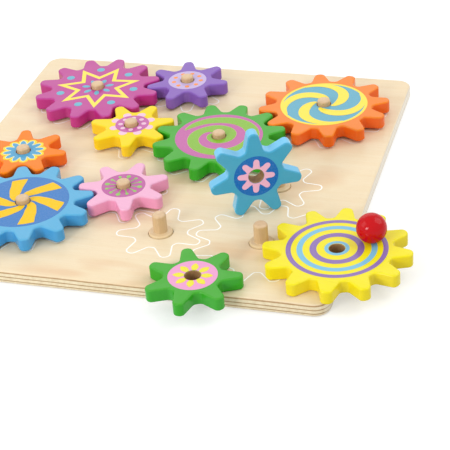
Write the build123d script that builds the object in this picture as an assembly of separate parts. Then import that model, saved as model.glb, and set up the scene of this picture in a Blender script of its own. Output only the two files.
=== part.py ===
from build123d import *
import os
from math import asin, atan2, cos, degrees, pi, radians, sin

# Wooden gear board: loose gears turn on turned pegs that are glued in a square plywood board.
# Millimetres, +Z up. The origin is the centre of the board's underside.

# ---- board ----
board_length = 300.0            # along X
board_depth = 300.0             # along Y
board_thickness = 9.0           # plywood
board_corner_radius = 10.5      # the corners, seen from above
board_edge_radius = 1.5         # sanded edges, top and bottom

# ---- teeth, shared by all gears so that any two of them mesh ----
gear_module = 7.2               # pitch diameter divided by the number of teeth
large_teeth = 12
small_teeth = 7
large_addendum = 5.6            # pitch circle to tooth tip
large_dedendum = 6.6            # pitch circle to the bottom of the gap
small_addendum = 6.8
small_dedendum = 5.8
large_tip_width = 6.6           # across the tooth at its tip, before rounding
large_foot_width = 14.2         # across the tooth at its foot, before rounding
small_tip_width = 6.4
small_foot_width = 12.5
large_tip_radius = 3.7
small_tip_radius = 3.6
large_gap_radius = 3.0          # rounding at the foot of a tooth
small_gap_radius = 3.5

# ---- gear blanks ----
gear_thickness = 9.5
gear_edge_radius = 1.2          # sanded edges of the gear faces
bore_radius = 5.1
bore_edge_radius = 0.4

# ---- pegs ----
spindle_clearance = 0.35        # radial, spindle to bore
spindle_height = 15.0           # top of the peg above the board
spindle_dome_radius = 2.0       # rounded end
flange_radius = 8.2
flange_rise = 1.5               # top of the flange above the board
flange_edge_radius = 1.2
foot_cove_radius = 0.25         # inside corner between spindle and flange
counterbore_depth = 1.5         # the flange is let into the board by this much
counterbore_gap = 0.4           # the dark ring seen round each flange
stem_radius = 4.0               # glued in the board below the flange
stem_length = 5.0
stem_glue_gap = 0.05            # radial
stem_end_gap = 0.5              # air under the stem

# ---- how the gears sit ----
running_gap = 0.1               # gear face above the flange that it turns on
lying_gap = 0.05                # loose gear above the board

# ---- peg layout: a tree of centre distances, so that a change of module keeps every mesh ----
large_pair_play = 0.8           # added to the pitch radii of two large gears
mixed_pair_play = 1.6           # of a large and a small one
small_pair_play = 2.1           # of two small ones
first_peg_x = 30.65             # the green gear's peg, from the middle of the board
first_peg_y = 25.35
# peg: (the peg that it is laid out from, direction in degrees from +X, teeth of the gear it is meant for)
peg_layout = {
    "large_green": (None, 0.0, large_teeth),
    "small_yellow": ("large_green", 174.6, small_teeth),
    "large_magenta": ("small_yellow", 130.9, large_teeth),
    "small_purple": ("large_magenta", 17.6, small_teeth),
    "large_orange": ("large_green", 42.1, large_teeth),
    "small_light_blue": ("large_green", -38.0, small_teeth),
    "crank": ("small_light_blue", -85.2, large_teeth),
    "small_green": ("crank", 179.9, small_teeth),
    "small_pink": ("small_green", 136.3, small_teeth),
    "large_blue": ("small_pink", -153.5, large_teeth),
    "small_orange": ("large_blue", 112.1, small_teeth),
}

# ---- rest positions of the seated gears ----
# gear: (the gear that it meshes with, how far it has turned in its backlash, in parts of a tooth pitch)
green_angle = 23.46             # direction of one tooth of the large green gear, degrees from +X
blue_angle = 23.08
seated_meshes = {
    "small_yellow": ("large_green", -0.030),
    "large_magenta": ("small_yellow", 0.030),
    "small_purple": ("large_magenta", -0.030),
    "large_orange": ("large_green", -0.030),
    "small_pink": ("large_blue", -0.030),
    "small_orange": ("large_blue", 0.030),
}

# ---- loose gears ----
crank_x = 145.24                # centre of the crank gear, lying over the front right corner
crank_y = -99.46
crank_angle = 3.94
lying_green_x = 62.26           # the small green gear, lying over the front edge
lying_green_y = -144.59
lying_green_angle = 11.61
standing_x = 80.7               # front face centre of the light blue gear, standing on two teeth
standing_y = -53.1
standing_facing = 27.4          # its printed face, degrees from -Y towards +X

# ---- crank knob ----
knob_radius = 10.0
knob_flat_radius = 3.6          # the flat that sits on the gear
knob_reach = 23.8               # knob centre from the crank gear's centre
knob_direction = 32.5           # degrees from +X, at rest
dowel_radius = 2.5
dowel_in_gear = 6.0
dowel_in_knob = 9.0
dowel_glue_gap = 0.05
dowel_end_gap = 0.5             # air above the dowel's upper end
dowel_end_chamfer = 0.4


class Blank:
    """Sizes of one kind of gear, worked out from its tooth count."""

    def __init__(self, teeth, addendum, dedendum, tip_width, foot_width, tip_radius, gap_radius):
        self.teeth = teeth
        self.pitch_radius = gear_module * teeth / 2
        self.outer_radius = self.pitch_radius + addendum
        self.gap_depth_radius = self.pitch_radius - dedendum
        self.tip_half_angle = asin(tip_width / 2 / self.outer_radius)
        self.foot_half_angle = asin(foot_width / 2 / self.gap_depth_radius)
        self.tip_radius = tip_radius
        self.gap_radius = gap_radius

    def outline(self):
        """Face bounded by straight tooth flanks with rounded tips and gaps; one tooth points along +X."""
        corners = []
        for tooth in range(self.teeth):
            middle = 2 * pi * tooth / self.teeth
            for radius, angle in (
                (self.gap_depth_radius, middle - self.foot_half_angle),
                (self.outer_radius, middle - self.tip_half_angle),
                (self.outer_radius, middle + self.tip_half_angle),
                (self.gap_depth_radius, middle + self.foot_half_angle),
            ):
                corners.append((radius * cos(angle), radius * sin(angle)))
        face = make_face(Polyline(*corners, close=True))

        def from_centre(corner):
            return (corner.X ** 2 + corner.Y ** 2) ** 0.5

        tips = [v for v in face.vertices() if from_centre(v) > self.pitch_radius]
        face = fillet(tips, self.tip_radius)
        feet = [v for v in face.vertices() if abs(from_centre(v) - self.gap_depth_radius) < 1e-3]
        return fillet(feet, self.gap_radius)

    def standing_height(self):
        """Height of the bore above the ground when the gear stands on two neighbouring teeth."""
        tip = (self.outer_radius * cos(self.tip_half_angle), self.outer_radius * sin(self.tip_half_angle))
        foot = (
            self.gap_depth_radius * cos(self.foot_half_angle),
            self.gap_depth_radius * sin(self.foot_half_angle),
        )
        flank_slope = atan2(foot[1] - tip[1], tip[0] - foot[0])
        # centre of the arc that rounds the corner between the tip and the flank
        arc_x = tip[0] - self.tip_radius
        arc_y = tip[1] - self.tip_radius * (1 - sin(flank_slope)) / cos(flank_slope)
        half_pitch = pi / self.teeth
        return arc_x * cos(half_pitch) + arc_y * sin(half_pitch) + self.tip_radius


large_blank = Blank(
    large_teeth,
    large_addendum,
    large_dedendum,
    large_tip_width,
    large_foot_width,
    large_tip_radius,
    large_gap_radius,
)
small_blank = Blank(
    small_teeth,
    small_addendum,
    small_dedendum,
    small_tip_width,
    small_foot_width,
    small_tip_radius,
    small_gap_radius,
)
blank_of = {large_teeth: large_blank, small_teeth: small_blank}


def centre_distance(first_teeth, second_teeth):
    """Distance between two pegs whose gears mesh."""
    pitch_radii = gear_module * (first_teeth + second_teeth) / 2
    if first_teeth == second_teeth == large_teeth:
        return pitch_radii + large_pair_play
    if first_teeth == second_teeth == small_teeth:
        return pitch_radii + small_pair_play
    return pitch_radii + mixed_pair_play


def place_pegs():
    """Peg centres, each laid out from an earlier one."""
    places = {}
    for peg, (origin, direction, teeth) in peg_layout.items():
        if origin is None:
            places[peg] = (first_peg_x, first_peg_y)
            continue
        reach = centre_distance(peg_layout[origin][2], teeth)
        x, y = places[origin]
        places[peg] = (x + reach * cos(radians(direction)), y + reach * sin(radians(direction)))
    return places


def rest_angles():
    """Direction of one tooth of each seated gear, so that its teeth stand in its neighbour's gaps."""
    angles = {"large_green": green_angle, "large_blue": blue_angle}
    for gear, (neighbour, backlash) in seated_meshes.items():
        x, y = peg_places[gear]
        neighbour_x, neighbour_y = peg_places[neighbour]
        towards = degrees(atan2(y - neighbour_y, x - neighbour_x))
        neighbour_share = (towards - angles[neighbour]) * peg_layout[neighbour][2] / 360
        own_share = 0.5 + backlash - neighbour_share
        angles[gear] = towards + 180 - own_share * 360 / peg_layout[gear][2]
    return angles


def edges_at_height(solid, height):
    return solid.edges().filter_by_position(Axis.Z, height - 1e-3, height + 1e-3)


def make_board():
    """Plywood sheet with a counterbore and a blind stem hole for each peg."""
    sheet = extrude(RectangleRounded(board_length, board_depth, board_corner_radius), board_thickness)
    sheet = fillet(edges_at_height(sheet, 0) + edges_at_height(sheet, board_thickness), board_edge_radius)
    hole_depth = stem_length + stem_end_gap
    seat = board_thickness - counterbore_depth
    for x, y in peg_places.values():
        counterbore = Cylinder(
            flange_radius + counterbore_gap, counterbore_depth, align=(Align.CENTER, Align.CENTER, Align.MIN)
        )
        stem_hole = Cylinder(
            stem_radius + stem_glue_gap, hole_depth, align=(Align.CENTER, Align.CENTER, Align.MIN)
        )
        sheet -= Pos(x, y, seat) * counterbore
        sheet -= Pos(x, y, seat - hole_depth) * stem_hole
    return sheet


def make_peg():
    """Turned peg; its height zero is the board's top."""
    spindle_radius = bore_radius - spindle_clearance
    profile = make_face(
        Polyline(
            (0, -counterbore_depth - stem_length),
            (stem_radius, -counterbore_depth - stem_length),
            (stem_radius, -counterbore_depth),
            (flange_radius, -counterbore_depth),
            (flange_radius, flange_rise),
            (spindle_radius, flange_rise),
            (spindle_radius, spindle_height),
            (0, spindle_height),
            close=True,
        )
    )

    def corner(x, y):
        return [v for v in profile.vertices() if abs(v.X - x) < 1e-3 and abs(v.Y - y) < 1e-3]

    profile = fillet(corner(spindle_radius, spindle_height), spindle_dome_radius)
    profile = fillet(corner(flange_radius, flange_rise), flange_edge_radius)
    profile = fillet(corner(spindle_radius, flange_rise), foot_cove_radius)
    return revolve(Plane.XZ * profile, Axis.Z)


def make_gear(blank):
    """Gear lying at height zero, with one tooth along +X."""
    body = extrude(blank.outline(), gear_thickness)
    rims = edges_at_height(body, 0) + edges_at_height(body, gear_thickness)
    body = fillet(rims, gear_edge_radius)
    body -= Pos(0, 0, gear_thickness / 2) * Cylinder(bore_radius, gear_thickness)
    bore_rims = [e for e in body.edges().filter_by(GeomType.CIRCLE) if abs(e.radius - bore_radius) < 1e-3]
    return chamfer(bore_rims, bore_edge_radius)


def place_gear(gear, x, y, z, angle):
    return Pos(x, y, z) * Rot(0, 0, angle) * gear


peg_places = place_pegs()
seated_angles = rest_angles()
large_gear = make_gear(large_blank)
small_gear = make_gear(small_blank)
gear_of = {large_teeth: large_gear, small_teeth: small_gear}
peg = make_peg()

nodes = {"board": make_board()}

for name, (x, y) in peg_places.items():
    nodes["peg_" + name] = Pos(x, y, board_thickness) * peg

# gears on their pegs
seat_height = board_thickness + flange_rise + running_gap
for name, angle in seated_angles.items():
    x, y = peg_places[name]
    nodes["gear_" + name] = place_gear(gear_of[peg_layout[name][2]], x, y, seat_height, angle)

# loose gears that lie on the board
lying_height = board_thickness + lying_gap
nodes["gear_small_green"] = place_gear(
    small_gear, lying_green_x, lying_green_y, lying_height, lying_green_angle
)

# the crank gear, with a blind hole for the knob's dowel
crank_top = lying_height + gear_thickness
knob_x = crank_x + knob_reach * cos(radians(knob_direction))
knob_y = crank_y + knob_reach * sin(radians(knob_direction))
crank_gear = place_gear(large_gear, crank_x, crank_y, lying_height, crank_angle)
dowel_hole = Cylinder(dowel_radius + dowel_glue_gap, dowel_in_gear, align=(Align.CENTER, Align.CENTER, Align.MAX))
nodes["crank_gear"] = crank_gear - Pos(knob_x, knob_y, crank_top) * dowel_hole

dowel_length = dowel_in_gear + dowel_in_knob
dowel = Cylinder(dowel_radius, dowel_length, align=(Align.CENTER, Align.CENTER, Align.MIN))
dowel = chamfer(dowel.edges().filter_by(GeomType.CIRCLE), dowel_end_chamfer)
nodes["crank_dowel"] = Pos(knob_x, knob_y, crank_top - dowel_in_gear) * dowel

# the knob: a ball with a flat, its height zero at the flat
knob_centre_height = (knob_radius ** 2 - knob_flat_radius ** 2) ** 0.5
knob_hole = Cylinder(
    dowel_radius + dowel_glue_gap,
    dowel_in_knob + dowel_end_gap,
    align=(Align.CENTER, Align.CENTER, Align.MIN),
)
above_flat = Box(4 * knob_radius, 4 * knob_radius, 4 * knob_radius, align=(Align.CENTER, Align.CENTER, Align.MIN))
knob = (Pos(0, 0, knob_centre_height) * Sphere(knob_radius)) & above_flat
nodes["crank_knob"] = Pos(knob_x, knob_y, crank_top) * (knob - knob_hole)

# the small gear that stands on two teeth: one tooth points straight up, the printed face looks forward
bore_height = board_thickness + lying_gap + small_blank.standing_height()
upright = Rot(90, 0, 0) * Rot(0, 0, 90) * Pos(0, 0, -gear_thickness) * small_gear
nodes["gear_small_light_blue"] = (
    Pos(standing_x, standing_y, bore_height) * Rot(0, 0, standing_facing) * upright
)

os.makedirs("parts", exist_ok=True)
for name, solid in nodes.items():
    export_step(solid, "parts/" + name + ".step")
    size = solid.bounding_box().size
    print(f"{name:26s} {size.X:7.2f} x {size.Y:7.2f} x {size.Z:6.2f}  volume {solid.volume:10.1f}")
print("pegs", {name: (round(x, 2), round(y, 2)) for name, (x, y) in peg_places.items()})
print("rest angles", {name: round(angle, 3) for name, angle in seated_angles.items()})
print("standing bore height", round(bore_height, 3))
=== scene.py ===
"""Looks of a wooden gear board: plywood, turned pegs, painted and printed gears, a crank gear with a red knob."""

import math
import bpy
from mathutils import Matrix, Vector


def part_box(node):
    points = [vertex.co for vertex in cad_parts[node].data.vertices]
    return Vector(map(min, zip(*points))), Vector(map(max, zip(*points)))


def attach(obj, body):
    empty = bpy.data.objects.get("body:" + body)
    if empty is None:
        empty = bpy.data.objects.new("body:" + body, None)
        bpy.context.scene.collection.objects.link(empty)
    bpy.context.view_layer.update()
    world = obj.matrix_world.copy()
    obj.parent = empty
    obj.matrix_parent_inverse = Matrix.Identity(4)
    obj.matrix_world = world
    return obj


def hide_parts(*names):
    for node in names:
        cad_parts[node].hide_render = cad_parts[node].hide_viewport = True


bl_info = {
    "name": "Wooden gear board",
    "version": (1, 0, 0),
    "blender": (4, 5, 0),
    "location": "View3D > Sidebar > Gear board",
    "description": "Paints, prints and lights a wooden gear board on its CAD frame",
    "category": "Object",
}

import bpy
from bpy.props import FloatProperty, FloatVectorProperty, PointerProperty
from mathutils import Matrix, Vector

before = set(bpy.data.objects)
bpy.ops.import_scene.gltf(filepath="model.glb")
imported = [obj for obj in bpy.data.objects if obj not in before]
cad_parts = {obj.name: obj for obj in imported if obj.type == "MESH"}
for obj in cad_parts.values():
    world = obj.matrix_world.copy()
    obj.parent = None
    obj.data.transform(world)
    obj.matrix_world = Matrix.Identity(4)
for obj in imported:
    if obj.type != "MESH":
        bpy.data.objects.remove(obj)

MM = 0.001
BOARD = "board"
WHITE = (1, 1, 1, 1)

STANDING = "small_light_blue"  # the gear that stands on two teeth
STANDING_HEIGHT = 38.2335  # of its middle, in mm
STANDING_FACING = 27.4  # degrees that its face is turned by, from the front

# gear drawn on the board: (x and y of its peg in mm, teeth, angle of one tooth in degrees)
OUTLINES = {
    "large_green": (30.65, 25.35, 12, 26.4),
    "small_yellow": (-39.04, 31.94, 7, 17.3),
    "large_magenta": (-84.87, 84.85, 12, 2.2),
    "small_purple": (-18.15, 106.01, 7, 26.6),
    "large_orange": (95.35, 83.81, 12, 12.8),
    "small_light_blue": (85.81, -17.75, 7, 5.9),
    "crank": (91.67, -87.5, 12, 25.2),
    "small_green": (21.67, -87.38, 7, 36.2),
    "small_pink": (-16.29, -51.11, 7, 30.7),
    "large_blue": (-78.93, -82.34, 12, 24.05),
    "small_orange": (-105.27, -17.48, 7, 5.9),
}
# gear off its peg: x and y of its middle in mm
LOOSE = {"small_green": (62.26, -144.59), STANDING: (80.7, -53.1), "crank": (145.24, -99.46)}
# teeth: (gear that lends its shape to the outlines, angle of one of its teeth in degrees)
OUTLINE_FROM = {12: ("crank", 3.94), 7: ("small_green", 11.61)}
OUTLINE_LIFT = 0.03  # of the line's middle over the board, in mm
OUTLINE_DEPTH = 0.05  # thickness of the line, in mm
BORE_REACH = 9  # a gear's points nearer to its axis than this belong to its bore, in mm

# ink, in mm
FACE_GAP = 0.01  # under the lowest layer
LAYER_GAP = 0.02  # between two layers
HAIR = 0.0015  # between shapes of one layer that overlap
BEAD_HAIR = 0.002  # between the rays and the beads at their ends

# the profile of a peg, in mm: heights are over the board's top
STEM_END, STEM_END_AT = 3.7, -6.5
STEM, STEM_AT = 4.0, -6.2
SEAT_AT = -1.5
FLANGE, FLANGE_EDGE, FLANGE_TOP = 8.2, 1.2, 1.5
SPINDLE, COVE = 4.75, 0.3
TIP_EDGE, TIP_AT = 1.6, 15.0

# the wood's traits, in waves per metre along the fibre, across it and up
CLOUD, BEND, STREAK, FINE, PORE = (12, 30, 30), (10, 30, 30), (14, 330, 330), (60, 1700, 1700), (260, 4200, 4200)

# the board, in m
BOARD_THICKNESS = 0.009
PLY_LINES = (0.27, 0.57, 0.9)  # heights of the darker plies, as shares of the thickness
LIT_END_STARTS, LIT_END_FULL = 0.1465, 0.1495  # from here outwards the board's end faces are painted paler, as painted light on them
# warm stains: (x, y, reach along the fibre, reach across it)
STAINS = ((-0.040, -0.143, 0.021, 0.006), (-0.022, -0.1435, 0.012, 0.004), (0.128, -0.128, 0.016, 0.012))

# the paint, in m
BARE_RADIUS = 0.0054  # nearer to the axis than this a gear is bare wood
RIM_SHADING_STARTS, RIM_SHADING_FULL = -0.0004, -0.0013  # heights against the face where the rim's painted shading comes in

FLOOR_SIZE, FLOOR_BACK, FLOOR_DROP = 14, 3, 0.0002
GLOW_NEAR, GLOW_FAR = (0.6, 0.47), (2.2, 0.64)  # (distance from the toy in m, glow of the floor)

# lamp: (place in m, width, height, the setting that holds its power)
LAMPS = {
    "top_softbox": ((1.09, 0.46, 1.14), 1.2, 1.2, "top_power"),
    "left_softbox": ((-1.06, -0.52, 0.88), 0.8, 0.9, "left_power"),
    "back_softbox": ((-0.66, 1.76, 1.15), 2.0, 1.0, "back_power"),
    "front_light": ((-0.47, -1.37, 0.62), 0.42, 0.42, "front_power"),
}
CAMERA_AT = (0.330895, -0.87199, 0.556183)
CAMERA_TURN, CAMERA_TILT, CAMERA_ROLL = 18.567, 90 - 32.938, -4.904  # degrees
CAMERA_LENS, CAMERA_SENSOR = 119.77, 36


def shade(red, green, blue):
    """An sRGB colour of 0 to 255 as the linear colour that a node takes."""
    return tuple(
        c / 12.92 if c <= 0.04045 else ((c + 0.055) / 1.055) ** 2.4
        for c in (red / 255, green / 255, blue / 255)
    ) + (1.0,)


# ---------------- settings

def number(name, words, value, low, high):
    return FloatProperty(name=name, description=words, default=value, min=low, max=high)


def power(name, words, value):
    return FloatProperty(name=name, description=words, default=value, min=0.0, subtype="POWER")


def colour(name, words, rgb):
    return FloatVectorProperty(
        name=name, description=words, subtype="COLOR", size=4, min=0.0, max=1.0, default=shade(*rgb)
    )


class GearBoardSizes(bpy.types.PropertyGroup):
    outline_width: number("Outline width", "Width of the white gear outlines on the board, in mm", 0.85, 0.2, 3.0)
    outline_scale: number("Outline scale", "Size of a drawn gear against the real one", 0.944, 0.5, 1.1)
    ink_thickness: number("Ink thickness", "Thickness of one printed layer, in mm", 0.04, 0.005, 0.2)
    hole_margin: number("Hole margin", "Radius round the bore that prints leave free, in mm", 5.55, 5.1, 8.0)
    top_power: power("Top light", "Power of the softbox overhead", 8.8)
    left_power: power("Left light", "Power of the softbox on the left", 3.6)
    back_power: power("Back light", "Power of the wide softbox behind", 4.3)
    front_power: power("Front light", "Power of the low light in front", 8.4)
    sky_level: number("Sky level", "Strength of the surrounding white light", 0.72, 0.0, 2.0)


class GearBoardColours(bpy.types.PropertyGroup):
    birch: colour("Birch", "Pale tone of the face veneer", (236, 221, 192))
    birch_dark: colour("Birch figure", "Darker tone of the face veneer", (228, 202, 158))
    peg: colour("Peg wood", "Pale tone of the turned pegs", (216, 184, 138))
    peg_dark: colour("Peg figure", "Darker tone of the turned pegs", (176, 136, 92))
    bare: colour("Bare wood", "Unpainted wood inside the bores", (176, 138, 92))
    white: colour("Outline white", "White of the outlines on the board", (255, 253, 248))
    yellow: colour("Yellow", "Paint of the crank gear", (236, 222, 0))
    warm_yellow: colour("Warm yellow", "Paint of the small yellow gear", (240, 212, 0))
    blue: colour("Blue", "Paint of the large blue gear", (84, 168, 210))
    sky_blue: colour("Sky blue", "Paint of the standing gear", (64, 164, 202))
    green: colour("Green", "Paint of the green gears", (54, 162, 22))
    orange: colour("Orange", "Paint of the orange gears", (238, 126, 0))
    magenta: colour("Magenta", "Paint of the magenta gear", (184, 58, 144))
    pink: colour("Pink", "Paint of the pink gear", (232, 172, 202))
    purple: colour("Purple", "Paint of the purple gear", (128, 86, 178))
    knob_red: colour("Knob red", "Lacquer of the crank knob", (198, 0, 12))


def sizes():
    return bpy.context.scene.gear_board_sizes


def colours():
    return bpy.context.scene.gear_board_colours


# ---------------- selection and placing

def deselect():
    if bpy.context.mode != "OBJECT":
        bpy.ops.object.mode_set(mode="OBJECT")
    bpy.ops.object.select_all(action="DESELECT")


def pick(*objects):
    """These objects alone are selected, the first of them active."""
    deselect()
    for o in objects:
        o.select_set(True)
    bpy.context.view_layer.objects.active = objects[0]


def edit_all():
    """Edit mode, with the whole mesh selected."""
    bpy.ops.object.mode_set(mode="EDIT")
    bpy.ops.mesh.select_all(action="SELECT")


def leave_edit():
    bpy.ops.object.mode_set(mode="OBJECT")


def twin(shape):
    """A copy of an object with a mesh of its own."""
    other = shape.copy()
    other.data = shape.data.copy()
    bpy.context.collection.objects.link(other)
    return other


def turned_by(degrees, axis="Z"):
    return Matrix.Rotation(math.radians(degrees), 4, axis)


def node_of(gear):
    """The name of a gear's CAD node."""
    return "crank_gear" if gear == "crank" else f"gear_{gear}"


def body_of(gear):
    return gear if gear == "crank" else f"{gear}_gear"


def middle_of(gear):
    """The x and y of a gear's middle in mm, on its peg or off it."""
    return LOOSE.get(gear, OUTLINES[gear][:2])


def face_frame(gear):
    """The place of a gear's printed face: x to the right, y up the face and z out of it, in mm."""
    node = node_of(gear)
    x, y = middle_of(gear)
    if gear == STANDING:
        return (
            Matrix.Translation((x * MM, y * MM, STANDING_HEIGHT * MM))
            @ turned_by(STANDING_FACING)
            @ turned_by(90, "X")
            @ Matrix.Scale(MM, 4)
        )
    return Matrix.Translation((x * MM, y * MM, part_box(node)[1][2])) @ Matrix.Scale(MM, 4)


def finish_with(piece, material):
    piece.data.materials.clear()
    piece.data.materials.append(material)


def settle(piece, name, place, material, body):
    """Puts a piece where it belongs, leaves its place in its mesh, and gives it its finish and its body."""
    piece.name = name
    piece.data.name = name
    piece.matrix_world = place @ piece.matrix_world
    pick(piece)
    bpy.ops.object.transform_apply(location=True, rotation=True, scale=True)
    finish_with(piece, material)
    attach(piece, body)


# ---------------- flat shapes, in mm

def round_point(radius, degrees):
    """The x and y of a point at a radius and an angle."""
    turn = math.radians(degrees)
    return radius * math.cos(turn), radius * math.sin(turn)


def cut_out_middle(width):
    """Leaves a rim of a width round the flat face in edit, and returns to object mode."""
    bpy.ops.mesh.inset(thickness=width, depth=0)
    bpy.ops.mesh.delete(type="FACE")
    leave_edit()


def flat_ring(inner, outer):
    """A filled circle, inset by the ring's width, with its middle taken out."""
    deselect()
    bpy.ops.mesh.primitive_circle_add(vertices=128, radius=outer, fill_type="NGON")
    edit_all()
    cut_out_middle(outer - inner)
    return bpy.context.object


def flat_dot(radius, distance, angle, stretch=1.0, sides=32):
    """A filled circle at a distance and angle from the middle, drawn out along its radius."""
    deselect()
    bpy.ops.mesh.primitive_circle_add(
        vertices=sides, radius=radius, fill_type="NGON", location=(*round_point(distance, angle), 0)
    )
    dot = bpy.context.object
    edit_all()
    bpy.ops.transform.resize(value=(stretch, 1, 1))
    leave_edit()
    dot.rotation_euler.z = math.radians(angle)
    return dot


def along(line, share):
    """The values at a share of a smooth line through points that hold three values each."""
    last = len(line) - 1
    f = share * last
    i = min(int(f), last - 1)
    f -= i
    around = line[max(i - 1, 0)], line[i], line[i + 1], line[min(i + 2, last)]
    return [
        0.5 * (2 * b + (c - a) * f + (2 * a - 5 * b + 4 * c - d) * f * f + (3 * b - a - 3 * c + d) * f**3)
        for a, b, c, d in zip(*around)
    ]


def polar(points):
    """Points of (radius, degrees, half width) as points of (x, y, half width)."""
    return [(*round_point(r, a), w) for r, a, w in points]


def long_grid(steps, rows):
    """A grid of 2 by 2 about the origin, with many steps along X."""
    deselect()
    bpy.ops.mesh.primitive_grid_add(x_subdivisions=steps, y_subdivisions=rows, size=2)
    return bpy.context.object


def weld(shape):
    """Joins the points that fall together where a bent grid comes to a point."""
    pick(shape)
    edit_all()
    bpy.ops.mesh.remove_doubles(threshold=0.003)
    leave_edit()
    return shape


def flat_ribbon(line, steps=48):
    """A long grid laid along a smooth line, as wide as the line says."""
    ribbon = long_grid(steps, 2)
    near = 0.004  # share of the line over which its direction is read
    for v in ribbon.data.vertices:
        share = (v.co.x + 1) / 2
        x, y, half = along(line, share)
        ahead, behind = along(line, min(share + near, 1)), along(line, max(share - near, 0))
        way = Vector((ahead[0] - behind[0], ahead[1] - behind[1])).normalized()
        side = v.co.y * max(half, 0.0)
        v.co = (x - way.y * side, y + way.x * side, 0)
    return weld(ribbon)


def flat_sweep(edges, steps=160):
    """A grid bent round the middle between an inner and an outer radius; edges holds (degrees, inner, outer)."""
    sweep = long_grid(steps, 3)
    for v in sweep.data.vertices:
        angle, inner, outer = along(edges, (v.co.x + 1) / 2)
        v.co = (*round_point(inner + (outer - inner) * (v.co.y + 1) / 2, angle), 0)
    return weld(sweep)


def flat_blade(edges, steps=40):
    """A grid between two bent edges, cut off round at its ends; edges holds (radius, degrees, degrees)."""
    blade = long_grid(steps, 6)
    for v in blade.data.vertices:
        r, low, high = along(edges, (v.co.x + 1) / 2)
        v.co = (*round_point(r, low + (high - low) * (v.co.y + 1) / 2), 0)
    return blade


def flat_star(points, tip, notch, line_width, angle):
    """A zigzag star line: a circle whose every other corner is pulled in, inset by the line's width."""
    deselect()
    bpy.ops.mesh.primitive_circle_add(vertices=2 * points, radius=tip, fill_type="NGON")
    star = bpy.context.object
    for i, v in enumerate(star.data.vertices):
        v.co = (*round_point(notch if i % 2 else tip, angle + 180 / points * i), 0)
    edit_all()
    cut_out_middle(line_width)
    return star


def joined(shapes):
    """The shapes as one object."""
    pick(*shapes)
    if len(shapes) > 1:
        bpy.ops.object.join()
    return bpy.context.object


def in_a_circle(shape, count):
    """Copies of a flat shape, evenly turned about the middle, each a hair above the one before."""
    copies = [shape]
    for i in range(1, count):
        other = twin(shape)
        other.matrix_world = (
            Matrix.Translation((0, 0, HAIR * i)) @ Matrix.Rotation(2 * math.pi * i / count, 4, "Z") @ shape.matrix_world
        )
        copies.append(other)
    bpy.context.view_layer.update()
    return joined(copies)


def petals(count, degrees, points, steps=24):
    """Petals round the middle, the first at an angle, through points of (radius, half width)."""
    return in_a_circle(flat_ribbon(polar([(r, degrees, w) for r, w in points]), steps), count)


def print_on(shape, gear, name, layer, ink, shift=(0.0, 0.0)):
    """Gives a flat shape the thickness of ink and lays it on a gear's face, over the layers below."""
    thickness = sizes().ink_thickness
    pick(shape)
    bpy.ops.object.transform_apply(location=True, rotation=True, scale=True)
    edit_all()
    bpy.ops.mesh.normals_make_consistent(inside=False)
    leave_edit()
    if sum(p.normal.z * p.area for p in shape.data.polygons) < 0:
        edit_all()
        bpy.ops.mesh.flip_normals()
        leave_edit()
    bpy.ops.object.modifier_add(type="SOLIDIFY")
    shape.modifiers[-1].thickness = thickness
    shape.modifiers[-1].offset = 1
    bpy.ops.object.modifier_apply(modifier=shape.modifiers[-1].name)
    up = FACE_GAP + layer * (thickness + LAYER_GAP)
    place = face_frame(gear) @ Matrix.Translation((*shift, up))
    settle(shape, f"print_{gear}_{name}", place, ink, body_of(gear))


# ---------------- shader building

def fill(tree, node, **inputs):
    """Gives a node's inputs a value or the socket that feeds them; i0 is the first, and _ stands for a space."""
    for key, value in inputs.items():
        by_place = key[0] == "i" and key[1:].isdigit()
        socket = node.inputs[int(key[1:]) if by_place else key.replace("_", " ")]
        if isinstance(value, bpy.types.NodeSocket):
            tree.links.new(value, socket)
        else:
            socket.default_value = value


def put(tree, kind, settings=(), **inputs):
    """Adds a node with its settings and inputs."""
    n = tree.nodes.new("ShaderNode" + kind)
    for key, value in dict(settings).items():
        setattr(n, key, value)
    fill(tree, n, **inputs)
    return n


def math_node(tree, operation, a, b=0.0, clamp=False):
    return put(tree, "Math", {"operation": operation, "use_clamp": clamp}, i0=a, i1=b).outputs[0]


def product(tree, a, b):
    return math_node(tree, "MULTIPLY", a, b)


def total(tree, a, b, clamp=False):
    return math_node(tree, "ADD", a, b, clamp)


def vector_node(tree, operation, a, b):
    return put(tree, "VectorMath", {"operation": operation}, i0=a, i1=b).outputs[0]


def length_of(tree, vector):
    return put(tree, "VectorMath", {"operation": "LENGTH"}, i0=vector).outputs[1]


def scaled(tree, vector, by):
    return put(tree, "VectorMath", {"operation": "SCALE"}, i0=vector, Scale=by).outputs[0]


def height_of(tree, vector):
    return put(tree, "SeparateXYZ", i0=vector).outputs[2]


def blend(tree, share, a, b, how="MIX"):
    return put(tree, "Mix", {"data_type": "RGBA", "blend_type": how}, i0=share, i6=a, i7=b).outputs[2]


def stretch(tree, vector, scale):
    return put(tree, "Mapping", {"vector_type": "POINT"}, Vector=vector, Scale=scale).outputs[0]


def noise(tree, vector, scale=1.0, detail=3.0, roughness=0.55):
    return put(tree, "TexNoise", Vector=vector, Scale=scale, Detail=detail, Roughness=roughness).outputs[0]


def spread(tree, value, low, high, to_low=0.0, to_high=1.0):
    """The value between low and high as a share between to_low and to_high, and no further."""
    return put(tree, "MapRange", {"clamp": True}, i0=value, i1=low, i2=high, i3=to_low, i4=to_high).outputs[0]


def bump(tree, height, distance, strength):
    return put(tree, "Bump", Height=height, Distance=distance, Strength=strength).outputs[0]


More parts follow.
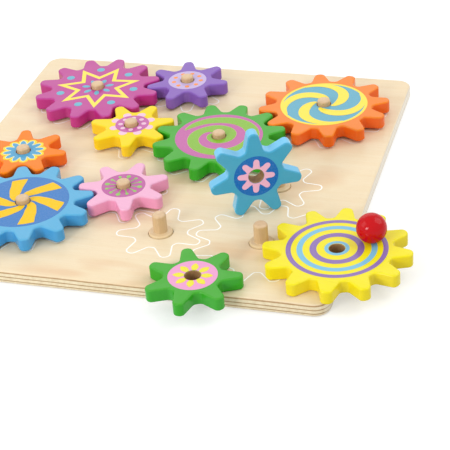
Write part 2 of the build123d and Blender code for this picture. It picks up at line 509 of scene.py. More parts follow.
def new_group(name, inputs, outputs):
    """An empty shader group with its named sockets: (name, socket kind, default)."""
    g = bpy.data.node_groups.new(name, "ShaderNodeTree")
    for label, kind, default in inputs:
        s = g.interface.new_socket(label, in_out="INPUT", socket_type="NodeSocket" + kind)
        if default is not None:
            s.default_value = default
    for label, kind in outputs:
        g.interface.new_socket(label, in_out="OUTPUT", socket_type="NodeSocket" + kind)
    return g, g.nodes.new("NodeGroupInput"), g.nodes.new("NodeGroupOutput")


def wood_fibre():
    """Birch fibre that runs along X: cloudy tone, long streaks and short dark pores."""
    if "Wood fibre" in bpy.data.node_groups:
        return bpy.data.node_groups["Wood fibre"]
    g, given, made = new_group(
        "Wood fibre",
        [
            ("Vector", "Vector", None),
            ("Pale", "Color", (0.8, 0.7, 0.5, 1)),
            ("Dark", "Color", (0.6, 0.4, 0.2, 1)),
            ("Streaks", "Float", 0.6),
            ("Pores", "Float", 0.5),
            ("Figure", "Float", 1.0),
        ],
        [("Color", "Color"), ("Height", "Float"), ("Roughness", "Float")],
    )
    v, dark = given.outputs["Vector"], given.outputs["Dark"]
    large = scaled(g, v, given.outputs["Figure"])
    cloud = noise(g, stretch(g, large, CLOUD), 1, 2, 0.5)
    drift = put(g, "TexNoise", Vector=stretch(g, v, BEND), Scale=1.0, Detail=1.0).outputs["Color"]
    bent = vector_node(g, "ADD", large, scaled(g, drift, 0.006))
    streak = noise(g, stretch(g, bent, STREAK), 1, 4, 0.6)
    fine = noise(g, stretch(g, v, FINE), 1, 2, 0.6)
    pore = spread(g, noise(g, stretch(g, v, PORE), 1, 1, 0.5), 0.66, 0.76)
    streaked = product(g, spread(g, streak, 0.3, 0.75), given.outputs["Streaks"])
    clouded = product(g, spread(g, cloud, 0.3, 0.7), 0.25)
    tone = blend(g, total(g, streaked, clouded, True), given.outputs["Pale"], dark)
    tone = blend(g, product(g, spread(g, fine, 0.35, 0.75), 0.26), tone, dark)
    pore_tone = blend(g, 0.45, dark, (0.12, 0.06, 0.02, 1))
    tone = blend(g, product(g, pore, given.outputs["Pores"]), tone, pore_tone)
    height = math_node(g, "SUBTRACT", product(g, fine, 0.5), product(g, pore, 0.6))
    fill(g, made, Color=tone, Height=height, Roughness=spread(g, streak, 0.2, 0.8, 0.42, 0.58))
    return g


def painted_wood():
    """Sprayed satin paint over wood: even colour with faint clouding, fibre lifting the film, bare wood in the bore;
    below the face the paint takes the Rim tone, which is painted shading of the rim.
    """
    if "Painted wood" in bpy.data.node_groups:
        return bpy.data.node_groups["Painted wood"]
    g, given, made = new_group(
        "Painted wood",
        [
            ("Vector", "Vector", None),
            ("Paint", "Color", (0.8, 0.1, 0.1, 1)),
            ("Rim", "Color", (0.7, 0.1, 0.1, 1)),
            ("Bare", "Color", (0.4, 0.25, 0.12, 1)),
        ],
        [("Color", "Color"), ("Roughness", "Float"), ("Height", "Float"), ("Coat", "Float")],
    )
    v, bare = given.outputs["Vector"], given.outputs["Bare"]
    cloud = noise(g, v, 38, 2, 0.5)
    fibre = noise(g, stretch(g, v, (55, 900, 900)), 1, 3, 0.6)
    peel = noise(g, v, 950, 1, 0.5)
    speck = spread(g, noise(g, v, 2600, 1, 0.5), 0.74, 0.8)
    # painted shading: below the face the paint turns to the Rim tone, which stands in for the different light on the
    # rim
    rim_shading_mask = spread(g, height_of(g, v), RIM_SHADING_STARTS, RIM_SHADING_FULL)
    paint = blend(g, rim_shading_mask, given.outputs["Paint"], given.outputs["Rim"])
    paint = blend(g, spread(g, cloud, 0.3, 0.7, 0.0, 0.03), paint, WHITE)
    paint = blend(g, spread(g, fibre, 0.5, 0.8, 0.0, 0.07), paint, (0.0, 0.0, 0.0, 1))
    paint = blend(g, product(g, speck, 0.05), paint, WHITE)
    reach = length_of(g, vector_node(g, "MULTIPLY", v, (1, 1, 0)))
    fray = product(g, math_node(g, "SUBTRACT", noise(g, v, 700, 2, 0.6), 0.5), 0.0003)
    bored = math_node(g, "LESS_THAN", total(g, reach, fray), BARE_RADIUS)
    wood = put(
        g, "Group", {"node_tree": wood_fibre()}, Vector=v, Pale=bare,
        Dark=blend(g, 0.5, bare, (0.1, 0.05, 0.02, 1)), Streaks=0.9, Pores=0.7,
    )
    fill(
        g, made, Color=blend(g, bored, paint, wood.outputs["Color"]),
        Roughness=total(g, spread(g, cloud, 0.25, 0.75, 0.15, 0.19), product(g, bored, 0.35)),
        Height=total(g, fibre, product(g, peel, 0.25)),
        Coat=product(g, math_node(g, "SUBTRACT", 1.0, bored), 0.04),
    )
    return g


def printed_ink():
    """A screen-printed film: faint mottling, pinholes along the fibre, as satin as the paint."""
    if "Printed ink" in bpy.data.node_groups:
        return bpy.data.node_groups["Printed ink"]
    g, given, made = new_group(
        "Printed ink",
        [("Vector", "Vector", None), ("Ink", "Color", (0.1, 0.2, 0.8, 1))],
        [("Color", "Color"), ("Roughness", "Float"), ("Height", "Float")],
    )
    v = given.outputs["Vector"]
    mottle = noise(g, v, 800, 2, 0.5)
    fibre = noise(g, stretch(g, v, (70, 1100, 1100)), 1, 3, 0.6)
    tone = blend(g, spread(g, mottle, 0.35, 0.75, 0.0, 0.035), given.outputs["Ink"], WHITE)
    tone = blend(g, spread(g, fibre, 0.55, 0.8, 0.0, 0.06), tone, (0.05, 0.03, 0.02, 1))
    height = total(g, product(g, fibre, 0.8), product(g, mottle, 0.2))
    fill(g, made, Color=tone, Roughness=spread(g, mottle, 0.3, 0.7, 0.15, 0.2), Height=height)
    return g


def blank_material(name, coat=0.0, coat_roughness=0.03, specular=0.5):
    """A material with a plain shader, and the shader's fixed values."""
    m = bpy.data.materials.new(name)
    m.use_nodes = True
    t = m.node_tree
    t.nodes.clear()
    out = t.nodes.new("ShaderNodeOutputMaterial")
    bsdf = t.nodes.new("ShaderNodeBsdfPrincipled")
    t.links.new(bsdf.outputs[0], out.inputs[0])
    fill(t, bsdf, Coat_Weight=coat, Coat_Roughness=coat_roughness, Specular_IOR_Level=specular)
    return m, t, bsdf


def link_film(tree, bsdf, film, bump_distance, bump_strength):
    """Feeds the shader with the colour, roughness and relief of a film group."""
    relief = bump(tree, film.outputs["Height"], bump_distance, bump_strength)
    fill(tree, bsdf, Base_Color=film.outputs["Color"], Roughness=film.outputs["Roughness"], Normal=relief)


def coordinates(tree, gear=None):
    """Object coordinates, centred on a gear's face where one is given, with the fibre turned its own way."""
    here = put(tree, "TexCoord").outputs["Object"]
    if gear is None:
        return here
    if gear == STANDING:
        turn = (math.radians(90), 0, math.radians(STANDING_FACING))
    else:
        turn = (0, 0, math.radians(sum(map(ord, gear)) % 180))
    place = face_frame(gear).translation
    return put(tree, "Mapping", {"vector_type": "TEXTURE"}, Vector=here, Location=place, Rotation=turn).outputs[0]


def gear_paint(gear, rgba, gloss=0.2, rim=None):
    """Satin paint whose rim below the face takes a fuller, darker tone as painted shade, or a given tone there."""
    if rim is None:
        # painted shade: the rim's tone is the paint darkened and made fuller, for the sheen that lights the face and
        # not the rim
        strongest = max(rgba[:3])
        rim = [k * (0.5 + 0.5 * k / strongest) for k in rgba[:3]] + [1.0]
    m, t, bsdf = blank_material(f"Satin paint {gear}", coat_roughness=0.18, specular=gloss)
    film = put(
        t, "Group", {"node_tree": painted_wood()}, Vector=coordinates(t, gear),
        Paint=tuple(rgba), Rim=tuple(rim), Bare=tuple(colours().bare),
    )
    link_film(t, bsdf, film, 0.00006, 0.35)
    fill(t, bsdf, Coat_Weight=film.outputs["Coat"])
    return m


def ink(gear, name, rgb, gloss=0.2):
    m, t, bsdf = blank_material(f"Ink {gear} {name}", 0.1, 0.22, gloss)
    film = put(t, "Group", {"node_tree": printed_ink()}, Vector=coordinates(t, gear), Ink=shade(*rgb))
    link_film(t, bsdf, film, 0.00005, 0.35)
    return m


def seen_rays(tree):
    """1 for what the camera sees, by itself, in a reflection or through something, and 0 for light."""
    rays = put(tree, "LightPath").outputs
    seen = total(tree, rays["Is Camera Ray"], rays["Is Glossy Ray"], True)
    return total(tree, seen, rays["Is Transmission Ray"], True)


def bore_edge():
    """The radius that prints leave free round a bore."""
    return sizes().hole_margin


def print_disc(gear, radius, tone, rgb):
    """Prints a disc of one colour as the lowest layer."""
    print_on(flat_ring(bore_edge(), radius), gear, "disc", 0, ink(gear, tone, rgb))


# ---------------- operators

class GEARBOARD_OT_stage(bpy.types.Operator):
    """Adds the pale floor, the soft lights, the white surroundings and the camera"""

    bl_idname = "gearboard.stage"
    bl_label = "Stage, light and camera"

    def execute(self, context):
        size = sizes()
        self.floor()
        self.surroundings(size.sky_level)
        for name, (place, wide, high, setting) in LAMPS.items():
            deselect()
            bpy.ops.object.light_add(type="AREA", location=place)
            lamp = context.object
            lamp.name = name
            lamp.data.shape = "RECTANGLE"
            lamp.data.size, lamp.data.size_y = wide, high
            lamp.data.energy = getattr(size, setting)
            lamp.rotation_euler = (-Vector(place)).to_track_quat("-Z", "Y").to_euler()
        deselect()
        turn = turned_by(CAMERA_TURN) @ turned_by(CAMERA_TILT, "X") @ turned_by(CAMERA_ROLL)
        bpy.ops.object.camera_add(location=CAMERA_AT, rotation=turn.to_euler())
        camera = context.object
        camera.name = "camera"
        camera.data.lens = CAMERA_LENS
        camera.data.sensor_width = CAMERA_SENSOR
        camera.data.clip_start = 0.05
        camera.data.clip_end = 50
        context.scene.camera = camera
        context.scene.view_settings.view_transform = "Standard"
        return {"FINISHED"}

    def floor(self):
        """A pale floor that glows a little more where less lamp light reaches it, so that it is white all over."""
        deselect()
        bpy.ops.mesh.primitive_plane_add(size=FLOOR_SIZE, location=(0, FLOOR_BACK, -FLOOR_DROP))
        floor = bpy.context.object
        floor.name = "floor"
        m, t, bsdf = blank_material("Pale floor", specular=0.1)
        fill(t, bsdf, Base_Color=(0.6, 0.6, 0.6, 1), Roughness=0.9)
        seen = seen_rays(t)
        away = length_of(t, vector_node(t, "ADD", coordinates(t), (0, FLOOR_BACK, 0)))
        (near, near_glow), (far, far_glow) = GLOW_NEAR, GLOW_FAR
        glow = product(t, seen, spread(t, away, near, far, near_glow, far_glow))
        light = put(t, "Emission", Color=WHITE, Strength=glow)
        both = put(t, "AddShader", i0=bsdf.outputs[0], i1=light.outputs[0])
        t.links.new(both.outputs[0], t.nodes["Material Output"].inputs[0])
        floor.data.materials.append(m)

    def surroundings(self, level):
        """White where they are seen, and as strong as the level for the light that they give."""
        world = bpy.data.worlds.new("White surroundings")
        bpy.context.scene.world = world
        world.use_nodes = True
        w = world.node_tree
        w.nodes.clear()
        strength = total(w, level, product(w, seen_rays(w), 1 - level))
        sky = put(w, "Background", Color=WHITE, Strength=strength)
        end = w.nodes.new("ShaderNodeOutputWorld")
        w.links.new(sky.outputs[0], end.inputs[0])


class GEARBOARD_OT_board(bpy.types.Operator):
    """Gives the board its birch face veneer and the plies along its edge"""

    bl_idname = "gearboard.board"
    bl_label = "Plywood board"

    def execute(self, context):
        m, t, bsdf = blank_material("Birch plywood", 0.2, 0.2, 0.25)
        here = coordinates(t)
        place = put(t, "SeparateXYZ", i0=here)
        veneer, faces = self.veneer(t, here)
        wave = product(t, math_node(t, "SUBTRACT", noise(t, here, 45, 2, 0.5), 0.5), 0.0005)
        height = math_node(t, "DIVIDE", total(t, place.outputs[2], wave), BOARD_THICKNESS)
        inner = product(t, math_node(t, "GREATER_THAN", height, 0.02), math_node(t, "LESS_THAN", height, 0.955))
        crossed = put(t, "Mapping", {"vector_type": "POINT"}, Vector=here, Rotation=(0, 0, math.radians(90)))
        edge = put(
            t, "Group", {"node_tree": wood_fibre()}, Vector=crossed.outputs[0],
            Pale=WHITE, Dark=shade(205, 190, 165), Streaks=0.8, Pores=0.6,
        )
        cut = blend(t, 0.6, self.plies(t, height), edge.outputs["Color"], "MULTIPLY")
        # painted light: the end faces at either end along X are blended paler, for the light that falls on them
        end = spread(t, math_node(t, "ABSOLUTE", place.outputs[0]), LIT_END_STARTS, LIT_END_FULL, 0.0, 0.55)
        cut = blend(t, end, cut, shade(255, 252, 244))
        sawn = product(t, product(t, edge.outputs["Height"], inner), 2.0)
        fill(
            t, bsdf, Base_Color=blend(t, inner, veneer, cut),
            Roughness=total(t, faces.outputs["Roughness"], product(t, inner, 0.2)),
            Normal=bump(t, total(t, faces.outputs["Height"], sawn), 0.00008, 0.4),
        )
        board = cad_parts[BOARD]
        finish_with(board, m)
        return {"FINISHED"}

    def veneer(self, t, here):
        """The colour of the face with its drifting figure and warm stains, and the fibre under them."""
        c = colours()
        pale, dark = tuple(c.birch), tuple(c.birch_dark)
        faces = put(
            t, "Group", {"node_tree": wood_fibre()}, Vector=here, Pale=pale, Dark=dark,
            Streaks=0.38, Pores=0.3, Figure=0.8,
        )
        drift = put(
            t, "TexWave", {"bands_direction": "Y"}, Vector=stretch(t, here, (0.22, 1, 1)),
            Scale=5.5, Distortion=7.0, Detail=2.0, Detail_Scale=2.2,
        ).outputs["Fac"]
        tone = blend(t, product(t, spread(t, drift, 0.55, 1.0), 0.12), faces.outputs["Color"], dark)
        stain = spread(t, noise(t, stretch(t, here, (14, 26, 26)), 1, 2, 0.5), 0.6, 0.74)
        for x, y, wide, deep in STAINS:
            away = vector_node(t, "SUBTRACT", here, (x, y, BOARD_THICKNESS))
            reach = length_of(t, stretch(t, away, (1 / wide, 1 / deep, 0)))
            stain = total(t, stain, spread(t, reach, 1.3, 0.2, 0.0, 0.9), True)
        return blend(t, product(t, stain, 0.34), tone, shade(214, 160, 108)), faces

    def plies(self, t, height):
        """The colour of the plies by their height: pale, with darker lines where the fibre is cut across."""
        light, cross = shade(250, 238, 206), shade(186, 152, 108)
        stops = [(0.0, cross), (0.05, light)]
        for middle in PLY_LINES:
            stops += [(middle - 0.07, light), (middle - 0.025, cross), (middle + 0.02, cross), (middle + 0.05, light)]
        stops[-1] = (1.0, light)
        plies = put(t, "ValToRGB", i0=height)
        elements = plies.color_ramp.elements
        elements[0].position, elements[0].color = stops[0]
        elements[1].position, elements[1].color = stops[-1]
        for at, tone in stops[1:-1]:
            elements.new(at).color = tone
        return plies.outputs[0]


class GEARBOARD_OT_pegs(bpy.types.Operator):
    """Turns the pegs round, and gives them and the crank's dowel their upright grain and glossy finish, with painted
    light on the pegs' top ends
    """

    bl_idname = "gearboard.pegs"
    bl_label = "Turned pegs"

    def execute(self, context):
        wood = self.wood()
        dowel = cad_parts["crank_dowel"]
        finish_with(dowel, wood)
        model = self.turned()
        for name, (x, y, _, _) in OUTLINES.items():
            peg = twin(model)
            context.view_layer.update()
            place = Matrix.Translation((x * MM, y * MM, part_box(BOARD)[1][2])) @ Matrix.Scale(MM, 4)
            settle(peg, f"turned_peg_{name}", place, wood, "pegboard")
            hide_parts(f"peg_{name}")
        bpy.data.objects.remove(model)
        return {"FINISHED"}

    def profile(self):
        """(radius, height) from the foot of a peg to the rim of its end, in mm, from the board's top."""
        quarter = [math.radians(90 * i / 8) for i in range(9)]
        foot = [(STEM, STEM_AT), (STEM, SEAT_AT), (FLANGE, SEAT_AT)]
        flange = [
            (FLANGE - FLANGE_EDGE + FLANGE_EDGE * math.cos(a), FLANGE_TOP - FLANGE_EDGE + FLANGE_EDGE * math.sin(a))
            for a in quarter
        ]
        cove = [
            (SPINDLE + COVE - COVE * math.sin(a), FLANGE_TOP + COVE - COVE * math.cos(a)) for a in quarter[::4]
        ]
        end = [
            (SPINDLE - TIP_EDGE + TIP_EDGE * math.cos(a), TIP_AT - TIP_EDGE + TIP_EDGE * math.sin(a)) for a in quarter
        ]
        return foot + flange + cove + end

    def turned(self):
        """A peg drawn up from the disc at its foot, step by step along its profile."""
        deselect()
        radius, height = STEM_END, STEM_END_AT
        bpy.ops.mesh.primitive_circle_add(vertices=64, radius=radius, fill_type="NGON", location=(0, 0, height))
        edit_all()
        for to_radius, to_height in self.profile():
            bpy.ops.mesh.extrude_region_move(TRANSFORM_OT_translate={"value": (0, 0, to_height - height)})
            bpy.ops.transform.resize(value=(to_radius / radius, to_radius / radius, 1))
            radius, height = to_radius, to_height
        bpy.ops.mesh.select_all(action="SELECT")
        bpy.ops.mesh.normals_make_consistent(inside=False)
        leave_edit()
        bpy.ops.object.shade_smooth_by_angle(angle=math.radians(35))
        return bpy.context.object

    def wood(self):
        """Upright fibre and fine lathe rings, paler on the flange, and painted light on the spindle's top end."""
        c = colours()
        m, t, bsdf = blank_material("Turned peg wood", 0.35, 0.22)
        here = coordinates(t)
        upright = put(t, "Mapping", {"vector_type": "POINT"}, Vector=here, Rotation=(0, math.radians(90), 0))
        fibre = put(
            t, "Group", {"node_tree": wood_fibre()}, Vector=upright.outputs[0],
            Pale=tuple(c.peg), Dark=tuple(c.peg_dark), Streaks=0.5, Pores=0.5,
        )
        lathe = put(t, "TexWave", {"bands_direction": "Z"}, Vector=here, Scale=420.0, Distortion=0.6).outputs["Fac"]
        high = height_of(t, here)
        flange = spread(t, high, 0.0112, 0.0104, 0.0, 0.7)
        # painted highlight: the spindle's top end is blended paler, for the light that falls on it from above
        end = spread(t, high, 0.0226, 0.0238, 0.0, 0.2)
        tone = blend(t, flange, fibre.outputs["Color"], tuple(c.birch_dark))
        tone = blend(t, end, tone, shade(244, 216, 184))
        relief = bump(t, total(t, fibre.outputs["Height"], product(t, lathe, 0.25)), 0.00008, 0.5)
        fill(t, bsdf, Base_Color=tone, Roughness=fibre.outputs["Roughness"], Normal=relief)
        return m


class GEARBOARD_OT_gears(bpy.types.Operator):
    """Gives every gear its satin paint, with bare wood in the bore"""

    bl_idname = "gearboard.gears"
    bl_label = "Painted gears"

    def execute(self, context):
        c = colours()
        for gear, tone, slot in (
            ("large_green", c.green, "paint_green"),
            ("small_green", c.green, "paint_green"),
            ("small_yellow", c.warm_yellow, "paint_yellow"),
            ("crank", c.yellow, "paint_yellow"),
            ("large_magenta", c.magenta, "paint_magenta"),
            ("small_purple", c.purple, "paint_purple"),
            ("large_orange", c.orange, "paint_orange"),
            ("small_orange", c.orange, "paint_orange"),
            ("large_blue", c.blue, "paint_blue"),
            ("small_light_blue", c.sky_blue, "paint_blue"),
            ("small_pink", c.pink, "paint_pink"),
        ):
            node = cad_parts[node_of(gear)]
            gloss = 0.1 if gear in ("small_yellow", "small_orange") else 0.2
            # painted shading on the rims: the standing gear's rim is paler as painted light from above, the purple's
            # rim keeps the face's tone, the rest get gear_paint's painted shade
            rim = {STANDING: shade(112, 194, 232), "small_purple": tone}.get(gear)
            finish_with(node, gear_paint(gear, tone, gloss, rim))
        return {"FINISHED"}


class GEARBOARD_OT_knob(bpy.types.Operator):
    """Gives the crank's ball knob its glossy red lacquer"""

    bl_idname = "gearboard.knob"
    bl_label = "Red knob"

    def execute(self, context):
        m, t, bsdf = blank_material("Red lacquer", 0.32, 0.05, 0.05)
        here = coordinates(t)
        cloud = noise(t, here, 60, 2, 0.5)
        peel = noise(t, here, 420, 2, 0.5)
        red = tuple(colours().knob_red)
        deep = tuple(0.72 * k for k in red[:3]) + (1.0,)
        tone = blend(t, spread(t, cloud, 0.3, 0.7, 0.0, 0.35), red, deep)
        rough = spread(t, cloud, 0.3, 0.7, 0.16, 0.22)
        fill(t, bsdf, Base_Color=tone, Roughness=rough, Normal=bump(t, peel, 0.00006, 0.12))
        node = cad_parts["crank_knob"]
        finish_with(node, m)
        return {"FINISHED"}


class GEARBOARD_OT_outlines(bpy.types.Operator):
    """Draws the white gear outlines round the pegs: a gear cut across, its rim turned into a thin flat line"""

    bl_idname = "gearboard.outlines"
    bl_label = "White outlines"

    def execute(self, context):
        size = sizes()
        m, t, bsdf = blank_material("Outline ink")
        white = tuple(colours().white)
        film = put(t, "Group", {"node_tree": printed_ink()}, Vector=coordinates(t), Ink=white)
        link_film(t, bsdf, film, 0.00005, 0.4)
        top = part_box(BOARD)[1][2] / MM
        rims = {teeth: self.rim(*OUTLINE_FROM[teeth], size) for teeth in OUTLINE_FROM}
        for gear, (x, y, teeth, angle) in OUTLINES.items():
            line = twin(rims[teeth])
            place = Matrix.Scale(MM, 4) @ Matrix.Translation((x, y, top + OUTLINE_LIFT)) @ turned_by(angle)
            settle(line, f"outline_{gear}", place, m, "pegboard")
        for rim in rims.values():
            bpy.data.objects.remove(rim)
        return {"FINISHED"}

    def rim(self, gear, angle, size):
        """A gear's rim as a flat line about the origin, in mm."""
        node_name = node_of(gear)
        x, y = middle_of(gear)
        rim = twin(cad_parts[node_name])
        for key in list(rim.keys()):
            del rim[key]
        rim.parent = None
        rim.matrix_world = Matrix.Identity(4)
        low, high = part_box(node_name)
        middle = Matrix.Translation((-x * MM, -y * MM, -(low[2] + high[2]) / 2))
        rim.data.transform(Matrix.Scale(size.outline_scale / MM, 4) @ turned_by(-angle) @ middle)
        pick(rim)
        edit_all()
        bpy.ops.mesh.remove_doubles(threshold=0.001)
        bpy.ops.mesh.bisect(plane_co=(0, 0, 0), plane_no=(0, 0, 1), clear_inner=True, clear_outer=True)
        bpy.ops.mesh.select_all(action="SELECT")
        bpy.ops.mesh.remove_doubles(threshold=0.12)
        bpy.ops.mesh.select_all(action="DESELECT")
        leave_edit()
        for v in rim.data.vertices:
            v.select = v.co.to_2d().length < BORE_REACH
        bpy.ops.object.mode_set(mode="EDIT")
        bpy.ops.mesh.select_mode(type="VERT")
        bpy.ops.mesh.delete(type="VERT")
        leave_edit()
        bpy.ops.object.convert(target="CURVE")
        line = bpy.context.object
        line.data.bevel_depth = size.outline_width / 2
        line.data.bevel_resolution = 1
        bpy.ops.object.convert(target="MESH")
        edit_all()
        bpy.ops.transform.resize(value=(1, 1, OUTLINE_DEPTH / size.outline_width))
        bpy.ops.mesh.normals_make_consistent(inside=False)
        leave_edit()
        return bpy.context.object


class GEARBOARD_OT_ring_print(bpy.types.Operator):
    """Prints the light blue and purple rings on the crank gear"""

    bl_idname = "gearboard.ring_print"
    bl_label = "Rings on the crank gear"

    def execute(self, context):
        pale, plum = ink("crank", "light blue", (116, 184, 214)), ink("crank", "purple", (134, 106, 172))
        for name, inner, outer, tone, slot in (
            ("ring_1", bore_edge(), 8.1, pale, "paint_blue"),
            ("ring_2", 13.2, 17.6, plum, "paint_purple"),
            ("ring_3", 22.1, 25.9, pale, "paint_blue"),
            ("ring_4", 29.6, 32.9, plum, "paint_purple"),
        ):
            print_on(flat_ring(inner, outer), "crank", name, 0, tone)
        return {"FINISHED"}


class GEARBOARD_OT_windmill_print(bpy.types.Operator):
    """Prints the blue disc and its six bent yellow blades on the large blue gear"""

    bl_idname = "gearboard.windmill_print"
    bl_label = "Windmill on the large blue gear"

    def execute(self, context):
        gear = "large_blue"
        print_disc(gear, 32.0, "deep blue", (40, 114, 184))
        edges = [
            (5.7, 22, 66), (8, 13, 57), (10, 5, 49), (12.2, -1, 41), (14, -3.5, 33.5),
            (17, -6.5, 25.5), (22, -11, 15), (25, -13, 11), (29.4, -15, 7),
        ]
        gold = ink(gear, "yellow", (238, 192, 0), 0.06)
        print_on(in_a_circle(flat_blade(edges), 6), gear, "blades", 1, gold)
        return {"FINISHED"}


class GEARBOARD_OT_spiral_print(bpy.types.Operator):
    """Prints the pink and lime spiral on the large green gear"""

    bl_idname = "gearboard.spiral_print"
    bl_label = "Spiral on the large green gear"

    def execute(self, context):
        gear, free = "large_green", bore_edge()
        print_disc(gear, 32.0, "pink", (188, 92, 158))
        band = [
            (135, free, free + 0.3), (180, free, 8.3), (225, free, 9.2), (270, free, 10.0), (315, free, 11.0),
            (360, free, 12.0), (405, free, 13.5), (450, free, 15.1), (495, free, 17.2), (515, 10.5, 18.7),
            (540, 13.0, 21.2), (585, 16.4, 24.5), (630, 18.7, 26.7), (675, 19.8, 28.3), (720, 19.9, 29.2),
            (765, 19.7, 29.0), (810, 19.2, 27.7), (840, 20.2, 27.9), (870, 23.0, 28.3), (884, 25.4, 28.0),
            (891, 27.3, 27.6),
        ]
        edge = [(a, max(free, i - 0.25), o + 0.25) for a, i, o in band]
        print_on(flat_sweep(edge, 240), gear, "band_edge", 1, ink(gear, "pale edge", (214, 186, 150)))
        print_on(flat_sweep(band, 240), gear, "band", 2, ink(gear, "lime", (128, 180, 40)))
        return {"FINISHED"}


class GEARBOARD_OT_swirl_print(bpy.types.Operator):
    """Prints the teal disc, four bent yellow blades and yellow rim on the large orange gear"""

    bl_idname = "gearboard.swirl_print"
    bl_label = "Swirl on the large orange gear"

    def execute(self, context):
        gear = "large_orange"
        print_disc(gear, 31.0, "teal", (88, 164, 188))
        gold = ink(gear, "yellow", (244, 220, 58))
        print_on(flat_ring(30.4, 32.4), gear, "rim", 1, gold)
        line = [
            (6.2, 72, 0.8), (8.2, 88, 2.0), (11, 107, 3.1), (14, 122, 3.75), (17.5, 136, 4.0), (21, 149, 3.9),
            (24, 162, 3.6), (26.5, 176, 3.1), (28.3, 190, 2.3), (29.4, 204, 1.3), (30.2, 220, 0.3),
        ]
        print_on(in_a_circle(flat_ribbon(polar(line), 72), 4), gear, "blades", 2, gold)
        return {"FINISHED"}


class GEARBOARD_OT_star_print(bpy.types.Operator):
    """Prints the yellow seven-pointed star line, its blue dots and petals on the large magenta gear"""

    bl_idname = "gearboard.star_print"
    bl_label = "Star on the large magenta gear"

    def execute(self, context):
        gear, tip_angle, dot_angle = "large_magenta", -75.2, -100.9
        star = flat_star(7, 33.4, 17.4, 3.1, tip_angle)
        print_on(star, gear, "star", 0, ink(gear, "yellow", (244, 222, 72)))
        sea = ink(gear, "teal", (96, 172, 196))
        print_on(in_a_circle(flat_dot(3.1, 29.2, dot_angle), 7), gear, "dots", 0, sea)
        leaves = petals(7, tip_angle, [(6.3, 0.9), (8, 1.7), (10, 1.9), (11.8, 1.1), (12.8, 0)], 16)
        print_on(leaves, gear, "leaves", 0, sea)
        return {"FINISHED"}


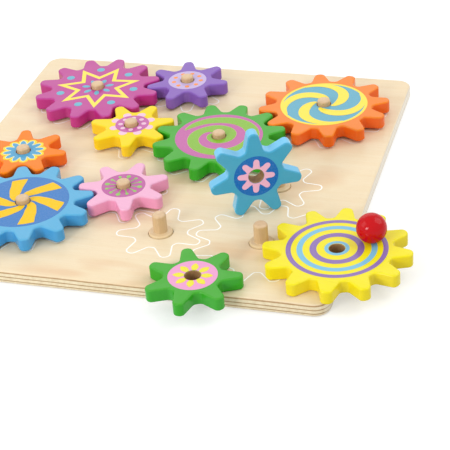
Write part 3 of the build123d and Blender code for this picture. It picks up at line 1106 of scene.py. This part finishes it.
class GEARBOARD_OT_flower_prints(bpy.types.Operator):
    """Prints the flowers and rayed discs on the small gears"""

    bl_idname = "gearboard.flower_prints"
    bl_label = "Flowers on the small gears"

    def execute(self, context):
        for flower in (self.rosette, self.aster, self.daisy, self.blossom, self.rays, self.bead_ring):
            flower()
        return {"FINISHED"}

    def rosette(self):
        """Eight pale petals and dots on a magenta disc, all a little off the gear's middle."""
        gear, shift, disc = "small_yellow", (0.4, 1.1), 12.6
        pale = ink(gear, "pale pink", (230, 188, 212))
        print_on(in_a_circle(flat_dot(3.1, 14.1, 34.2, 1.05), 8), gear, "petals", 0, pale, shift)
        edges = []
        for a in range(0, 361, 12):
            turn = math.radians(a)
            reach = shift[0] * math.cos(turn) + shift[1] * math.sin(turn)
            aside = shift[0] * math.sin(turn) - shift[1] * math.cos(turn)
            edges.append((a, bore_edge(), reach + math.sqrt(disc**2 - aside**2)))
        print_on(flat_sweep(edges, 90), gear, "disc", 1, ink(gear, "magenta", (190, 88, 160)))
        print_on(in_a_circle(flat_dot(1.75, 8.7, 11.3, 1.05), 8), gear, "dots", 2, pale, shift)

    def aster(self):
        """Twelve narrow blue petals with a pale rim and a yellow edge."""
        gear, angle = "small_orange", 22.4
        for name, layer, base, tip, half, rgb, slot in (
            ("edge", 0, 13.2, 16.9, 3.4, (252, 212, 10), "paint_yellow"),
            ("rim", 1, 10.6, 15.2, 2.35, (206, 228, 214), None),
            ("petals", 2, 9.2, 14.6, 1.9, (68, 156, 200), "paint_blue"),
        ):
            tone = ink(gear, name, rgb)
            line = [
                (base - 1.6, half), (base + 0.2, half), ((base + tip) / 2 + 0.2, half * 0.88),
                (tip - 1.1, half * 0.55), (tip - 0.3, half * 0.25), (tip, 0),
            ]
            print_on(petals(12, angle, line), gear, name, 2 * layer, tone)
            print_on(flat_ring(bore_edge(), base), gear, name + "_middle", 2 * layer + 1, tone)

    def daisy(self):
        """Eight pointed yellow petals on a pink disc."""
        gear = "small_green"
        print_disc(gear, 16.0, "pink", (226, 152, 196))
        line = [(5.6, 1.1), (7.2, 1.95), (9.2, 2.35), (11, 1.75), (12.2, 0.95), (13.1, 0)]
        print_on(petals(8, 7.5, line), gear, "petals", 1, ink(gear, "yellow", (228, 220, 36)))

    def blossom(self):
        """Eight round pink petals on a deep blue disc."""
        gear = STANDING
        print_disc(gear, 15.2, "deep blue", (0, 106, 190))
        tone = ink(gear, "pink", (240, 182, 214))
        line = [(5.7, 2.5), (7.0, 2.5), (8.4, 2.15), (10.2, 2.1), (11.5, 1.8), (12.4, 1.15), (12.8, 0)]
        print_on(petals(8, -4, line), gear, "petals", 1, tone)
        print_on(flat_ring(bore_edge(), 6.9), gear, "middle", 2, tone)

    def rays(self):
        """Twelve lime rays with beads at their ends on a magenta disc, every third bead larger."""
        gear, angle = "small_pink", 0.75
        print_disc(gear, 15.3, "magenta", (182, 86, 152))
        lime = ink(gear, "lime", (136, 190, 84))
        shapes = [petals(12, angle, [(5.7, 0.32), (8.5, 0.36), (11.3, 0.4)], 4)]
        for i in range(12):
            shapes.append(flat_dot(1.15 if i % 3 else 1.6, 11.8, angle + 30 * i, 1.12, 20))
        for i, shape in enumerate(shapes):
            shape.location.z = BEAD_HAIR * i
        print_on(joined(shapes), gear, "rays", 1, lime)

    def bead_ring(self):
        """Nine orange dots in a ring on a lilac disc."""
        gear = "small_purple"
        print_disc(gear, 14.8, "lilac", (190, 170, 214))
        beads = in_a_circle(flat_dot(1.7, 10.6, 6), 9)
        print_on(beads, gear, "beads", 1, ink(gear, "orange", (240, 140, 60)))


STEPS = (
    GEARBOARD_OT_stage,
    GEARBOARD_OT_board,
    GEARBOARD_OT_pegs,
    GEARBOARD_OT_gears,
    GEARBOARD_OT_knob,
    GEARBOARD_OT_outlines,
    GEARBOARD_OT_ring_print,
    GEARBOARD_OT_windmill_print,
    GEARBOARD_OT_spiral_print,
    GEARBOARD_OT_swirl_print,
    GEARBOARD_OT_star_print,
    GEARBOARD_OT_flower_prints,
)


class GEARBOARD_PT_steps(bpy.types.Panel):
    """Lists the steps that dress the gear board, and their settings"""

    bl_idname = "GEARBOARD_PT_steps"
    bl_label = "Gear board"
    bl_space_type = "VIEW_3D"
    bl_region_type = "UI"
    bl_category = "Gear board"

    def draw(self, context):
        for step in STEPS:
            self.layout.operator(step.bl_idname)
        for group in (sizes(), colours()):
            for name in group.__annotations__:
                self.layout.prop(group, name)


CLASSES = (GearBoardSizes, GearBoardColours, *STEPS, GEARBOARD_PT_steps)


def register():
    for c in CLASSES:
        bpy.utils.register_class(c)
    bpy.types.Scene.gear_board_sizes = PointerProperty(type=GearBoardSizes)
    bpy.types.Scene.gear_board_colours = PointerProperty(type=GearBoardColours)


def unregister():
    del bpy.types.Scene.gear_board_colours
    del bpy.types.Scene.gear_board_sizes
    for c in reversed(CLASSES):
        bpy.utils.unregister_class(c)


def main():
    """Dresses the frame step by step."""
    register()
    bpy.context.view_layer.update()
    for step in STEPS:
        group, name = step.bl_idname.split(".")
        getattr(getattr(bpy.ops, group), name)()
    deselect()


if __name__ == "__main__":
    main()
